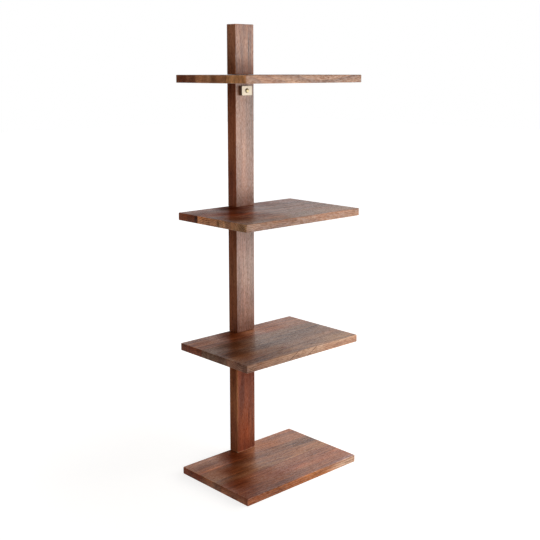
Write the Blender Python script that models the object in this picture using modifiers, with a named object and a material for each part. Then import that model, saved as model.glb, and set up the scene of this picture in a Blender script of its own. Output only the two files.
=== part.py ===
"""Wall shelf in metres, +Z up: shelf panels stacked on post blocks, held by cam fittings from behind.

The origin is under the middle of the bottom panel. +Y points to the wall, and the backs of the blocks and
the back edges of the panels lie in one plane, at the wall. Panels and blocks are numbered from below.
"""

import math

import bmesh
import bpy

# Shelf panels
SHELF_COUNT = 4
SHELF_LENGTH = 0.450
SHELF_DEPTH = 0.298
SHELF_THICKNESS = 0.022
SHELF_PITCH = 0.392
SHELF_EDGE_RADIUS = 0.0016

# Post blocks
BLOCK_WIDTH = 0.072
BLOCK_DEPTH = 0.038
TOP_BLOCK_HEIGHT = 0.145
BLOCK_EDGE_RADIUS = 0.0016

# Clearances, and how far a cutter runs past what it cuts
FIT_GAP = 0.0003
SEAT_GAP = 0.0003
OVERRUN = 0.010

# Cam fittings, with how far in from the block's side, back and end they sit
FITTING_INSET = 0.016
CAM_SETBACK = 0.024
CAM_DIAMETER = 0.015
CAM_HEIGHT = 0.012
CAM_CHAMFER = 0.0005
CAM_SINK = 0.0004
CROSS_LENGTH = 0.0076
CROSS_WIDTH = 0.0018
CROSS_DEPTH = 0.0024

# Cam bolts
BOLT_BACKSET = 0.0095
BOLT_DIAMETER = 0.006
NECK_DIAMETER = 0.0044
NECK_ROOM = 0.001
HEAD_DIAMETER = 0.007
HEAD_LENGTH = 0.0035
HEAD_REACH = 0.002
BOLT_CHAMFER = 0.0006
BOLT_ROOT = 0.012

# Dowels
DOWEL_BACKSET = 0.026
DOWEL_DIAMETER = 0.008
DOWEL_BITE = 0.014
DOWEL_CHAMFER = 0.001

# Wall plate and its screw
PLATE_WIDTH = 0.040
PLATE_HEIGHT = 0.028
PLATE_THICKNESS = 0.010
PLATE_DROP = 0.0243
PLATE_EDGE_RADIUS = 0.0007
SCREW_DIAMETER = 0.006
SCREW_LENGTH = 0.080
SCREW_POINT = 0.009
DOME_DIAMETER = 0.013
DOME_HEIGHT = 0.0038
SLOT_WIDTH = 0.0014
SLOT_DEPTH = 0.0016

# Facets
ROUND_STEPS = 20
DOME_STEPS = 32
DOME_POINTS = 6
EDGE_SEGMENTS = 3
SMOOTH_ANGLE = math.radians(35)

# Planes and heights that the pieces share
WALL_Y = SHELF_DEPTH / 2
BLOCK_FRONT_Y = WALL_Y - BLOCK_DEPTH
SHELF_BOTTOMS = [index * SHELF_PITCH for index in range(SHELF_COUNT)]
SHELF_TOPS = [bottom + SHELF_THICKNESS for bottom in SHELF_BOTTOMS]
FITTING_SIDES = {"left": FITTING_INSET - BLOCK_WIDTH / 2, "right": BLOCK_WIDTH / 2 - FITTING_INSET}
BOLT_Y = WALL_Y - BOLT_BACKSET
DOWEL_Y = WALL_Y - DOWEL_BACKSET

# Seats of the wall plate and wall screw
PLATE_BACK_Y = BLOCK_FRONT_Y - SEAT_GAP
PLATE_FRONT_Y = PLATE_BACK_Y - PLATE_THICKNESS
PLATE_Z = SHELF_BOTTOMS[-1] - PLATE_DROP
SCREW_SEAT_Y = PLATE_FRONT_Y - SEAT_GAP
SCREW_HOLE_DIAMETER = SCREW_DIAMETER + 2 * FIT_GAP

# Turns of a piece whose own +Z points up, to the wall, or away from it
UPRIGHT = 0.0
TO_WALL = -math.pi / 2
TO_ROOM = math.pi / 2


def clear_scene():
    for old in list(bpy.data.objects):
        bpy.data.objects.remove(old, do_unlink=True)


def new_collection(name, is_cutters=False):
    collection = bpy.data.collections.new(name)
    collection.hide_render = is_cutters
    bpy.context.scene.collection.children.link(collection)
    return collection


def new_material(name, colour, roughness, metallic=0.0):
    material = bpy.data.materials.new(name)
    material.use_nodes = True
    shader = material.node_tree.nodes["Principled BSDF"]
    shader.inputs["Base Color"].default_value = (*colour, 1.0)
    shader.inputs["Roughness"].default_value = roughness
    shader.inputs["Metallic"].default_value = metallic
    return material


def place(obj, collection, location, turn_x=UPRIGHT):
    obj.location = location
    obj.rotation_euler = (turn_x, 0.0, 0.0)
    collection.objects.link(obj)
    return obj


def box(name, low, high, collection):
    """A box between two corners, with its origin at its middle."""
    size = [top - bottom for bottom, top in zip(low, high)]
    middle = [(bottom + top) / 2 for bottom, top in zip(low, high)]
    shape = bmesh.new()
    bmesh.ops.create_cube(shape, size=1.0)
    bmesh.ops.scale(shape, vec=size, verts=shape.verts)
    mesh = bpy.data.meshes.new(name)
    shape.to_mesh(mesh)
    shape.free()
    return place(bpy.data.objects.new(name, mesh), collection, middle)


def turned(name, outline, location, turn_x, collection, steps=ROUND_STEPS):
    """A turned shape from (radius, height) points that run down its outer side, about its own Z."""
    points = [(radius, 0.0, height) for radius, height in outline]
    edges = [(index, index + 1) for index in range(len(points) - 1)]
    mesh = bpy.data.meshes.new(name)
    mesh.from_pydata(points, edges, [])
    obj = place(bpy.data.objects.new(name, mesh), collection, location, turn_x)
    turn = obj.modifiers.new("Turn", "SCREW")
    turn.steps = turn.render_steps = steps
    turn.use_merge_vertices = True
    turn.merge_threshold = FIT_GAP / 100
    turn.use_smooth_shade = False
    return obj


def round_edges(obj, radius):
    bevel = obj.modifiers.new("Eased edges", "BEVEL")
    bevel.width = radius
    bevel.segments = EDGE_SEGMENTS
    bevel.limit_method = "ANGLE"


def cut(obj, cutter):
    cutter.hide_render = True
    cutter.display_type = "WIRE"
    boolean = obj.modifiers.new(cutter.name, "BOOLEAN")
    boolean.operation = "DIFFERENCE"
    boolean.solver = "EXACT"
    boolean.object = cutter


def finish(obj, material):
    """Gives a piece its own copy of the material, and smooth shading on its round sides."""
    own = material.copy()
    own.name = f"{obj.name}_{material.name}"
    obj.data.materials.clear()
    obj.data.materials.append(own)
    obj.data.shade_smooth()
    obj.data.set_sharp_from_angle(angle=SMOOTH_ANGLE)
    return obj


def bore_down(name, diameter, top_z, bottom_z, x, y, collection):
    """An upright cylinder cutter between two heights."""
    radius, depth = diameter / 2, top_z - bottom_z
    outline = [(0.0, 0.0), (radius, 0.0), (radius, -depth), (0.0, -depth)]
    return turned(name, outline, (x, y, top_z), UPRIGHT, collection)


def bore_from_wall(name, diameter, mouth_y, floor_y, x, z, collection):
    """A level cylinder cutter, from its end nearer the wall to its end nearer the room."""
    radius, depth = diameter / 2, mouth_y - floor_y
    outline = [(0.0, 0.0), (radius, 0.0), (radius, -depth), (0.0, -depth)]
    return turned(name, outline, (x, mouth_y, z), TO_WALL, collection)


def make_shelf(index, parts, cutters):
    """One panel with eased edges. The bottom one takes the bolts' roots, and the others let them through."""
    name = f"shelf_{index + 1}"
    low = (-SHELF_LENGTH / 2, -WALL_Y, SHELF_BOTTOMS[index])
    high = (SHELF_LENGTH / 2, WALL_Y, SHELF_TOPS[index])
    panel = box(name, low, high, parts)
    round_edges(panel, SHELF_EDGE_RADIUS)
    mouth_z = SHELF_TOPS[index] + OVERRUN
    if index == 0:
        bolt_bore = BOLT_DIAMETER + 2 * FIT_GAP
        bolt_end_z = SHELF_TOPS[index] - BOLT_ROOT - SEAT_GAP
        dowel_end_z = SHELF_TOPS[index] - DOWEL_BITE - SEAT_GAP
    else:
        bolt_bore = HEAD_DIAMETER + 2 * FIT_GAP
        bolt_end_z = dowel_end_z = SHELF_BOTTOMS[index] - OVERRUN
    dowel_bore = DOWEL_DIAMETER + 2 * FIT_GAP
    for side, x in FITTING_SIDES.items():
        cut(panel, bore_down(f"{name}_bolt_bore_{side}", bolt_bore, mouth_z, bolt_end_z, x, BOLT_Y, cutters))
        cut(panel, bore_down(f"{name}_dowel_bore_{side}", dowel_bore, mouth_z, dowel_end_z, x, DOWEL_Y, cutters))
    return panel


def block_span(index):
    """The heights of a block's two ends. The last block is the one that stands free on the top panel."""
    low_z = SHELF_TOPS[index] + SEAT_GAP
    if index == SHELF_COUNT - 1:
        return low_z, SHELF_TOPS[index] + TOP_BLOCK_HEIGHT
    return low_z, SHELF_BOTTOMS[index + 1] - SEAT_GAP


def cam_places(index):
    """The end of each cam of a block, the height of its axis, and which way its joint lies, up or down."""
    places = [("low", SHELF_TOPS[index] + CAM_SETBACK, -1)]
    if index < SHELF_COUNT - 1:
        places.append(("high", SHELF_BOTTOMS[index + 1] - CAM_SETBACK, 1))
    return places


def make_block(index, parts, cutters):
    """One length of the post, with cam pockets in its back, and bolt and dowel bores in its ends."""
    name = f"post_block_{index + 1}"
    low_z, high_z = block_span(index)
    low = (-BLOCK_WIDTH / 2, BLOCK_FRONT_Y, low_z)
    high = (BLOCK_WIDTH / 2, WALL_Y, high_z)
    block = box(name, low, high, parts)
    round_edges(block, BLOCK_EDGE_RADIUS)
    pocket_floor_y = WALL_Y - CAM_SINK - CAM_HEIGHT - SEAT_GAP
    for end, cam_z, way in cam_places(index):
        face_z = cam_z + way * CAM_SETBACK
        bolt_ends = sorted((face_z + way * OVERRUN, cam_z - way * (HEAD_REACH + SEAT_GAP)))
        dowel_ends = sorted((face_z + way * OVERRUN, face_z - way * (DOWEL_BITE + SEAT_GAP)))
        for side, x in FITTING_SIDES.items():
            label = f"{name}_{end}_{side}"
            width = HEAD_DIAMETER + 2 * FIT_GAP
            cut(block, bore_down(f"{label}_bolt_bore", width, bolt_ends[1], bolt_ends[0], x, BOLT_Y, cutters))
            width = DOWEL_DIAMETER + 2 * FIT_GAP
            cut(block, bore_down(f"{label}_dowel_bore", width, dowel_ends[1], dowel_ends[0], x, DOWEL_Y, cutters))
            width = CAM_DIAMETER + 2 * FIT_GAP
            mouth_y = WALL_Y + OVERRUN
            cut(block, bore_from_wall(f"{label}_pocket", width, mouth_y, pocket_floor_y, x, cam_z, cutters))
    if low_z < PLATE_Z < high_z:
        start_y, end_y = WALL_Y + OVERRUN, BLOCK_FRONT_Y - OVERRUN
        cut(block, bore_from_wall(f"{name}_screw_bore", SCREW_HOLE_DIAMETER, start_y, end_y, 0.0, PLATE_Z, cutters))
    return block


def make_cam(name, x, z, way, parts, cutters):
    """A cam in its pocket: a cross recess outside, and inside the slot and chamber that hold a bolt's head."""
    radius = CAM_DIAMETER / 2
    outer_y = WALL_Y - CAM_SINK
    outline = [
        (0.0, 0.0),
        (radius - CAM_CHAMFER, 0.0),
        (radius, -CAM_CHAMFER),
        (radius, -CAM_HEIGHT),
        (0.0, -CAM_HEIGHT),
    ]
    cam = turned(name, outline, (x, outer_y, z), TO_WALL, parts)
    inner_y = outer_y - CAM_HEIGHT - OVERRUN
    half = NECK_DIAMETER / 2 + FIT_GAP
    ends = sorted((z, z + way * (radius + OVERRUN)))
    cut(cam, box(f"{name}_slot", (x - half, inner_y, ends[0]), (x + half, BOLT_Y + half, ends[1]), cutters))
    half = HEAD_DIAMETER / 2 + FIT_GAP
    ends = sorted((z - way * (HEAD_REACH + FIT_GAP), z + way * (HEAD_LENGTH - HEAD_REACH + FIT_GAP)))
    cut(cam, box(f"{name}_chamber", (x - half, inner_y, ends[0]), (x + half, BOLT_Y + half, ends[1]), cutters))
    long, short = CROSS_LENGTH / 2, CROSS_WIDTH / 2
    for arm, half_x, half_z in (("level", long, short), ("upright", short, long)):
        low = (x - half_x, outer_y - CROSS_DEPTH, z - half_z)
        high = (x + half_x, outer_y + OVERRUN, z + half_z)
        cut(cam, box(f"{name}_cross_{arm}", low, high, cutters))
    return cam


def make_cam_bolt(index, side, x, parts):
    """A cam bolt: headed at both ends where it passes through a panel, and rooted in the bottom one."""
    head, neck, shaft = HEAD_DIAMETER / 2, NECK_DIAMETER / 2, BOLT_DIAMETER / 2
    tip = CAM_SETBACK + HEAD_REACH
    neck_end = CAM_SETBACK - CAM_DIAMETER / 2 - NECK_ROOM
    headed_end = [
        (0.0, tip),
        (head - BOLT_CHAMFER, tip),
        (head, tip - BOLT_CHAMFER),
        (head, tip - HEAD_LENGTH),
        (neck, tip - HEAD_LENGTH),
        (neck, neck_end),
        (shaft, neck_end),
    ]
    rooted_end = [
        (shaft, BOLT_CHAMFER - BOLT_ROOT),
        (shaft - BOLT_CHAMFER, -BOLT_ROOT),
        (0.0, -BOLT_ROOT),
    ]
    mirrored_end = [(radius, -SHELF_THICKNESS - reach) for radius, reach in reversed(headed_end)]
    outline = headed_end + (rooted_end if index == 0 else mirrored_end)
    name = f"shelf_{index + 1}_cam_bolt_{side}"
    return turned(name, outline, (x, BOLT_Y, SHELF_TOPS[index]), UPRIGHT, parts)


def make_dowel(index, side, x, parts):
    """A dowel that bites equally into the wood on both sides of a joint, through the panel where it can."""
    radius = DOWEL_DIAMETER / 2
    bottom = -DOWEL_BITE if index == 0 else -SHELF_THICKNESS - DOWEL_BITE
    outline = [
        (0.0, DOWEL_BITE),
        (radius - DOWEL_CHAMFER, DOWEL_BITE),
        (radius, DOWEL_BITE - DOWEL_CHAMFER),
        (radius, bottom + DOWEL_CHAMFER),
        (radius - DOWEL_CHAMFER, bottom),
        (0.0, bottom),
    ]
    name = f"shelf_{index + 1}_dowel_{side}"
    return turned(name, outline, (x, DOWEL_Y, SHELF_TOPS[index]), UPRIGHT, parts)


def make_wall_plate(parts, cutters):
    """The brass block on the post's front, bored for the wall screw."""
    half_x, half_z = PLATE_WIDTH / 2, PLATE_HEIGHT / 2
    low = (-half_x, PLATE_FRONT_Y, PLATE_Z - half_z)
    high = (half_x, PLATE_BACK_Y, PLATE_Z + half_z)
    plate = box("wall_plate", low, high, parts)
    round_edges(plate, PLATE_EDGE_RADIUS)
    start_y, end_y = PLATE_BACK_Y + OVERRUN, PLATE_FRONT_Y - OVERRUN
    cut(plate, bore_from_wall("wall_plate_bore", SCREW_HOLE_DIAMETER, start_y, end_y, 0.0, PLATE_Z, cutters))
    return plate


def make_wall_screw(parts, cutters):
    """A dome-head wood screw through the plate and the post, on into the wall."""
    dome, shank = DOME_DIAMETER / 2, SCREW_DIAMETER / 2
    outline = [(0.0, DOME_HEIGHT)]
    for index in range(1, DOME_POINTS):
        angle = math.pi / 2 * index / DOME_POINTS
        outline.append((dome * math.sin(angle), DOME_HEIGHT * math.cos(angle)))
    outline += [(dome, 0.0), (shank, 0.0), (shank, SCREW_POINT - SCREW_LENGTH), (0.0, -SCREW_LENGTH)]
    screw = turned("wall_screw", outline, (0.0, SCREW_SEAT_Y, PLATE_Z), TO_ROOM, parts, DOME_STEPS)
    slot_floor_y = SCREW_SEAT_Y - DOME_HEIGHT + SLOT_DEPTH
    low = (-dome - OVERRUN, slot_floor_y - SLOT_DEPTH - OVERRUN, PLATE_Z - SLOT_WIDTH / 2)
    high = (dome + OVERRUN, slot_floor_y, PLATE_Z + SLOT_WIDTH / 2)
    cut(screw, box("wall_screw_slot", low, high, cutters))
    return screw


def main():
    clear_scene()
    parts = new_collection("wall_shelf")
    cutters = new_collection("wall_shelf_cutters", is_cutters=True)
    wood = new_material("stained_wood", (0.17, 0.075, 0.04), 0.42)
    brass = new_material("brass", (0.78, 0.62, 0.36), 0.3, 1.0)
    zinc = new_material("zinc_alloy", (0.62, 0.63, 0.65), 0.35, 1.0)
    beech = new_material("beech", (0.62, 0.42, 0.25), 0.6)
    for index in range(SHELF_COUNT):
        finish(make_shelf(index, parts, cutters), wood)
        finish(make_block(index, parts, cutters), wood)
        for side, x in FITTING_SIDES.items():
            finish(make_cam_bolt(index, side, x, parts), zinc)
            finish(make_dowel(index, side, x, parts), beech)
            for end, cam_z, way in cam_places(index):
                cam_name = f"block_{index + 1}_cam_{end}_{side}"
                finish(make_cam(cam_name, x, cam_z, way, parts, cutters), zinc)
    finish(make_wall_plate(parts, cutters), brass)
    finish(make_wall_screw(parts, cutters), brass)


main()
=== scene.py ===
# %% [markdown]
# # A dark wooden wall shelf, dressed for its portrait
#
# The imported model gives the sizes and places of every piece. This script gives the pieces their
# finer edges, their wood and their metal, and sets up a small studio. It starts by loading the
# imported model.

# %% Load the imported shelf
import math

import bmesh
import bpy
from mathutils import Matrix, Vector


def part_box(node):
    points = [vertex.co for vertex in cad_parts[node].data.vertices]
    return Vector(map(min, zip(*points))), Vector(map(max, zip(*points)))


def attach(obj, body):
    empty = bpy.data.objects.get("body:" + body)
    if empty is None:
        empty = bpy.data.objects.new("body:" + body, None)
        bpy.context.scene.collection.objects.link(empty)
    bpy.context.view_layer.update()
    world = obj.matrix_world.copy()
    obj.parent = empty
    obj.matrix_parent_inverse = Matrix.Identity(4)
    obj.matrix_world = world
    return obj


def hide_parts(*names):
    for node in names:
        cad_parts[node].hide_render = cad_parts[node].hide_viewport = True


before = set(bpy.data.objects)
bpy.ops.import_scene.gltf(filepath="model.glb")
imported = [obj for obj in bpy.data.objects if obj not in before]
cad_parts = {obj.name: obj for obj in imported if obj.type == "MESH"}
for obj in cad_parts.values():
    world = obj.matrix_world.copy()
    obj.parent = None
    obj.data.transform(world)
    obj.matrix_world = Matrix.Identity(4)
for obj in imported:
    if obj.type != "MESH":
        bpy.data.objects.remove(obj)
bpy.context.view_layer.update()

# %% [markdown]
# ## The camera
#
# A product picture of a tall, thin piece is taken from some way off with a long lens, so that its
# uprights stay almost parallel. The camera stands in front and to the left, level with the upper
# shelves, and looks down a little. A small shift moves the frame without more tilt.

# %% Set up the camera
CAMERA_PLACE = (-1.819, -1.957, 1.209)
CAMERA_TILT = math.radians(79.38)
CAMERA_TURN = math.radians(-42.89)
LENS_MM = 61.22
SENSOR_MM = 36
FRAME_SHIFT = -0.05

camera_data = bpy.data.cameras.new("portrait_camera")
camera_data.lens = LENS_MM
camera_data.sensor_width = SENSOR_MM
camera_data.shift_y = FRAME_SHIFT
camera = bpy.data.objects.new("portrait_camera", camera_data)
camera.location = CAMERA_PLACE
camera.rotation_euler = (CAMERA_TILT, 0, CAMERA_TURN)
bpy.context.scene.collection.objects.link(camera)
bpy.context.scene.camera = camera
bpy.context.scene.view_settings.view_transform = "Standard"
print("The camera stands", round(Vector(CAMERA_PLACE).length, 2), "m from the foot of the shelf")

# %% [markdown]
# ## Sums with shader nodes
#
# A wood pattern is a long sum of noises, bands and masks. Written node by node it is hard to
# read, so one small class wraps a node's output and lets Python's own signs add the Math nodes.

# %% Wrap a socket, so that it can be added and multiplied
class Wire:
    """An output in a node tree. A sum with it adds Math nodes to that tree."""

    def __init__(self, tree, socket=None):
        self.tree = tree
        self.socket = socket

    def node(self, kind, settings=None, inputs=None, output=0):
        """Adds a node, sets it, fills or links its inputs, and gives the output asked for."""
        made = self.tree.nodes.new(kind)
        for setting, value in (settings or {}).items():
            setattr(made, setting, value)
        for place, value in (inputs or {}).items():
            if isinstance(value, Wire):
                self.tree.links.new(value.socket, made.inputs[place])
            else:
                made.inputs[place].default_value = value
        return Wire(self.tree, made.outputs[output])

    def twin(self, output):
        """Another output of the same node."""
        return Wire(self.tree, self.socket.node.outputs[output])

    def math(self, operation, *values):
        return self.node("ShaderNodeMath", {"operation": operation}, dict(enumerate(values)))

    def __add__(self, other):
        return self.math("ADD", self, other)

    def __sub__(self, other):
        return self.math("SUBTRACT", self, other)

    def __rsub__(self, other):
        return self.math("SUBTRACT", other, self)

    def __mul__(self, other):
        return self.math("MULTIPLY", self, other)

    __radd__ = __add__
    __rmul__ = __mul__


# %% Small tools for masks, mixtures and noise
def rise(value, low, high):
    """0 up to low, 1 from high on, and a soft step between them."""
    settings = {"interpolation_type": "SMOOTHSTEP"}
    sockets = {"Value": value, "From Min": low, "From Max": high}
    return value.node("ShaderNodeMapRange", settings, sockets)


def mix(factor, first, second):
    """From the first colour or vector to the second, as the factor goes from 0 to 1 and past it."""
    settings = {"data_type": "VECTOR", "clamp_factor": False}
    return factor.node("ShaderNodeMix", settings, {0: factor, 4: first, 5: second}, 1)


def vectors(operation, first, *others, output=0):
    """Vector Math on a Wire and up to two more vectors."""
    sockets = dict(enumerate((first, *others)))
    return first.node("ShaderNodeVectorMath", {"operation": operation}, sockets, output)


def noise(place, stretch, detail=2.0, roughness=0.5, output=0):
    """Noise with so many grains to a metre as the stretch says, along each axis of the place."""
    wide = vectors("MULTIPLY", place, stretch)
    sockets = {"Vector": wide, "Scale": 1.0, "Detail": detail, "Roughness": roughness}
    return wide.node("ShaderNodeTexNoise", inputs=sockets, output=output)


# %% Small tools for colours and finishes
def linear(red, green, blue):
    """A colour as a screen shows it, from 0 to 255, in the linear values that a shader takes."""
    shares = [value / 255 for value in (red, green, blue)]
    return tuple(s / 12.92 if s <= 0.04045 else ((s + 0.055) / 1.055) ** 2.4 for s in shares)


def new_finish(name):
    """A material with its Principled shader, and a bare Wire to start its nodes from."""
    material = bpy.data.materials.new(name)
    material.use_nodes = True
    return material, Wire(material.node_tree), material.node_tree.nodes["Principled BSDF"]


def feed(shader, **wires):
    """Links wires to the shader's sockets, where an underscore stands for a space."""
    for socket, wire in wires.items():
        wire.tree.links.new(wire.socket, shader.inputs[socket.replace("_", " ")])


print("Mid grey in linear light:", round(linear(128, 128, 128)[0], 3))

# %% [markdown]
# ## Wood as a solid
#
# Each board was once part of a trunk, so its pattern belongs to its volume and not to its faces:
# the streaks on the top of a shelf run on as arcs and dots over its sawn end. An image wrapped
# round a box can't do that. Here the pattern is worked out from the place in the board. Rings lie
# round a pith that runs along the board, somewhere outside it. Slow noise bends them, and finer
# noise, drawn out along the grain, makes the fibres and the pores.
#
# A shelf is glued up from staves. Each stave has a colour, a pith and a length of trunk of its
# own, and the place across the board says which stave it is in. Stain never takes evenly, so a
# board also has blots: places that are darker, paler or redder than the rest. Many blots are
# painted light and shade instead: painted sheen, and painted shade where the post is mirrored,
# at the feet of the blocks and under the shelves.

# %% Describe the boards
class Stave:
    """One strip of a board: its far edge across the board, its colours on its faces and on its
    sawn ends, its pith across and through the board, and its place along the trunk."""

    def __init__(self, edge, colour, end_colour, pith, trunk, ring_depth=0.3):
        self.edge = edge
        self.colour = linear(*colour)
        self.end_colour = linear(*end_colour)
        self.pith = pith
        self.trunk = trunk
        self.ring_depth = ring_depth


class Blot:
    """An egg-shaped place whose colour is multiplied by a tint: stain on some blots, painted light
    and shade on others. A knot also bends the rings, and a dry place has lost that share of its
    oil."""

    def __init__(self, centre, reach, tint, bend=0.0, dry=0.0):
        self.centre = centre
        self.reach = reach
        self.tint = tint
        self.bend = bend
        self.dry = dry


class Board:
    """One piece of wood: the axes along, across and through its grain, its box, its staves and
    its blots. Its two long sides have a share of the colour and of the oil of their own."""

    def __init__(self, grain, box, staves, blots, side_share, speckle, oil, side_oil, scarfs=()):
        self.grain = grain
        self.low, self.high = box
        self.staves = staves
        self.blots = blots
        self.side_share = side_share
        self.speckle = speckle
        self.oil = oil
        self.side_oil = side_oil
        self.scarfs = scarfs


# %% Draw the rings round the pith
# A noise is its grains per metre along, across and through the trunk, its detail and roughness.
SLOW_BEND = ((1.5, 7.0, 7.0), 1.0)
QUICK_BEND = ((7.0, 42.0, 42.0), 2.0)
SLOW_REACH = (0.0, 0.050, 0.050)
QUICK_REACH = (0.0, 0.0065, 0.0065)
MIDDLE = (0.5, 0.5, 0.5)
RING_SPACING = 0.0052
LATE_WOOD = (0.15, 0.92)
YEAR_END = (0.94, 1.0)


def by_stave(joints, values):
    """The value of the stave that a place is in, from the masks of the joints before it."""
    total = values[0]
    for joint, before, after in zip(joints, values, values[1:]):
        total = joint * (after - before) + total
    return total


def ring_pattern(spot, staves):
    """Late wood is 1 and early wood 0, in rings that slow and quick noise bends."""
    pith_across = by_stave(spot.joints, [stave.pith[0] for stave in staves])
    pith_through = by_stave(spot.joints, [stave.pith[1] for stave in staves])
    offset = {1: spot.across - pith_across, 2: spot.through - pith_through}
    from_pith = spot.trunk.node("ShaderNodeCombineXYZ", inputs=offset)
    for bend, reach in ((SLOW_BEND, SLOW_REACH), (QUICK_BEND, QUICK_REACH)):
        push = vectors("SUBTRACT", noise(spot.trunk, *bend, output=1), MIDDLE)
        from_pith = vectors("MULTIPLY_ADD", push, reach, from_pith)
    radius = vectors("LENGTH", from_pith, output="Value") + spot.knot_bend
    age = radius * (1 / RING_SPACING)
    year = age.math("FRACT", age)
    return rise(year, *LATE_WOOD) * (1 - rise(year, *YEAR_END))


print("Rings lie about", round(1000 * RING_SPACING, 1), "mm apart")

# %% Find the edges, the sawn ends and the blots
WORN_REACH = 0.0035
END_REACH = 0.0008
BLOT_RIM = (0.2, 1.0)


def depth_inside(place, low, high):
    """How far inside the box a place is, along X, Y and Z."""
    centre = tuple((low + high) / 2)
    half = tuple((high - low) / 2)
    offset = vectors("ABSOLUTE", vectors("SUBTRACT", place, centre))
    inside = vectors("MULTIPLY_ADD", offset, (-1, -1, -1), half)
    x = inside.node("ShaderNodeSeparateXYZ", inputs={0: inside})
    return {"X": x, "Y": x.twin("Y"), "Z": x.twin("Z")}


def near_face(depth):
    """1 on a face, and 0 from a little way under it."""
    return 1 - rise(depth, END_REACH / 2, END_REACH)


def near_edge(inside):
    """1 on an edge and 0 on a face: the second smallest depth says how near the edge is."""
    x, y, z = inside["X"], inside["Y"], inside["Z"]
    larger = x.math("MAXIMUM", x, y)
    second = x.math("MAXIMUM", x.math("MINIMUM", x, y), x.math("MINIMUM", larger, z))
    return 1 - rise(second, 0.0, WORN_REACH)


def blot_mask(place, blot):
    """1 at the heart of a blot, and 0 outside its reach."""
    offset = vectors("SUBTRACT", place, blot.centre)
    scaled = vectors("DIVIDE", offset, blot.reach)
    return 1 - rise(vectors("LENGTH", scaled, output="Value"), *BLOT_RIM)


# %% Find a place on its board and in its trunk
BLUSH = ((4.0, 13.0, 13.0), 2.0)
BLOT_WANDER = 0.012


class Spot:
    """A place on a board, as the shader sees it: where it is, and which masks cover it."""

    def __init__(self, start, board):
        self.place = start.node("ShaderNodeTexCoord", output="Object")
        x = start.node("ShaderNodeSeparateXYZ", inputs={0: self.place})
        axes = {"X": x, "Y": x.twin("Y"), "Z": x.twin("Z")}
        middle = dict(zip("XYZ", (board.low + board.high) / 2))
        offsets = [axes[axis] - middle[axis] for axis in board.grain]
        self.along, self.across, self.through = offsets

        self.joints = [
            self.across.math("GREATER_THAN", self.across, stave.edge)
            for stave in board.staves[:-1]
        ]
        own_trunk = by_stave(self.joints, [stave.trunk for stave in board.staves])
        in_trunk = {0: self.along + own_trunk, 1: self.across, 2: self.through}
        self.trunk = start.node("ShaderNodeCombineXYZ", inputs=in_trunk)

        push = vectors("SUBTRACT", noise(self.trunk, *BLUSH, output=1), MIDDLE)
        wandering = vectors("MULTIPLY_ADD", push, (BLOT_WANDER,) * 3, self.place)
        self.blots = [(blot, blot_mask(wandering, blot)) for blot in board.blots]
        self.knot_bend = sum((mask * blot.bend for blot, mask in self.blots if blot.bend), 0.0)

        inside = depth_inside(self.place, board.low, board.high)
        self.sawn_end = near_face(inside[board.grain[0]])
        self.side = near_face(inside[board.grain[1]])
        self.edge = near_edge(inside)


# %% Read the pattern at that place
CLOUDS = ((3.2, 18.0, 18.0), 3.0)
STREAKS = ((7.0, 80.0, 80.0), 5.0, 0.62)
FIBRES = ((34.0, 900.0, 900.0), 2.0, 0.6)
FLECKS = ((110.0, 420.0, 420.0), 2.0, 0.6)
PORES = ((95.0, 2300.0, 2300.0), 0.0)
PORE_RISE = (0.58, 0.70)
FLECK_RISE = (0.50, 0.66)
BLUSH_RISE = (0.48, 0.64)
SIDE_SPECKLE = 0.60


class Pattern:
    """The rings and noises of the wood at a spot."""

    def __init__(self, spot, board):
        self.ring = ring_pattern(spot, board.staves)
        self.cloud = noise(spot.trunk, *CLOUDS)
        self.streak = noise(spot.trunk, *STREAKS)
        self.fibre = noise(spot.trunk, *FIBRES)
        self.pore = rise(noise(spot.trunk, *PORES), *PORE_RISE)
        self.flake = noise(spot.trunk, *FLECKS)
        self.fleck = rise(self.flake, *FLECK_RISE)
        self.blush = rise(noise(spot.trunk, *BLUSH), *BLUSH_RISE)
        self.speckle = board.speckle + (SIDE_SPECKLE - board.speckle) * spot.side


# %% Choose the strengths of the stain
# How far a noise moves the tone, which goes from the dark share of a stave's colour to the light
TONE_MIDDLE = 0.67
CLOUD_TONE = 1.5
STREAK_TONE = 1.5
FIBRE_TONE = 0.9
DARK_SHARE = (0.44, 0.36, 0.33)
LIGHT_SHARE = (1.50, 1.68, 1.80)

# Shares by which the colour is then multiplied, and how much of each mask is used
BLUSH_SHARE = (1.02, 0.90, 0.84)
GLUE_SHARE = (0.62, 0.57, 0.57)
SCARF_SHARE = (0.35, 0.28, 0.25)
FLECK_SHARE = (0.70, 0.62, 0.60)
PORE_SHARE = (0.50, 0.46, 0.45)
PORE_STAIN = 0.8
WORN_SHARE = (1.50, 1.60, 1.65)
WORN_STAIN = 0.5
WORN_RISE = (0.3, 0.6)

# Half widths of a glue line between staves, and of a slanting scarf joint within one
GLUE_LINE = 0.0004
SCARF_SLOPE = 1.8
SCARF_CORE = 0.0008
SCARF_LINE = 0.0034
print("A glue line is", 2000 * GLUE_LINE, "mm wide")


# %% Lay on the stain
def shade(colour, mask, share):
    """Multiplies the colour by a share where the mask is 1."""
    return mix(mask, colour, vectors("MULTIPLY", colour, share))


def stave_colour(joints, colours):
    """The colour of the stave that a place is in."""
    tint = colours[0]
    for joint, colour in zip(joints, colours[1:]):
        tint = mix(joint, tint, colour)
    return tint


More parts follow.
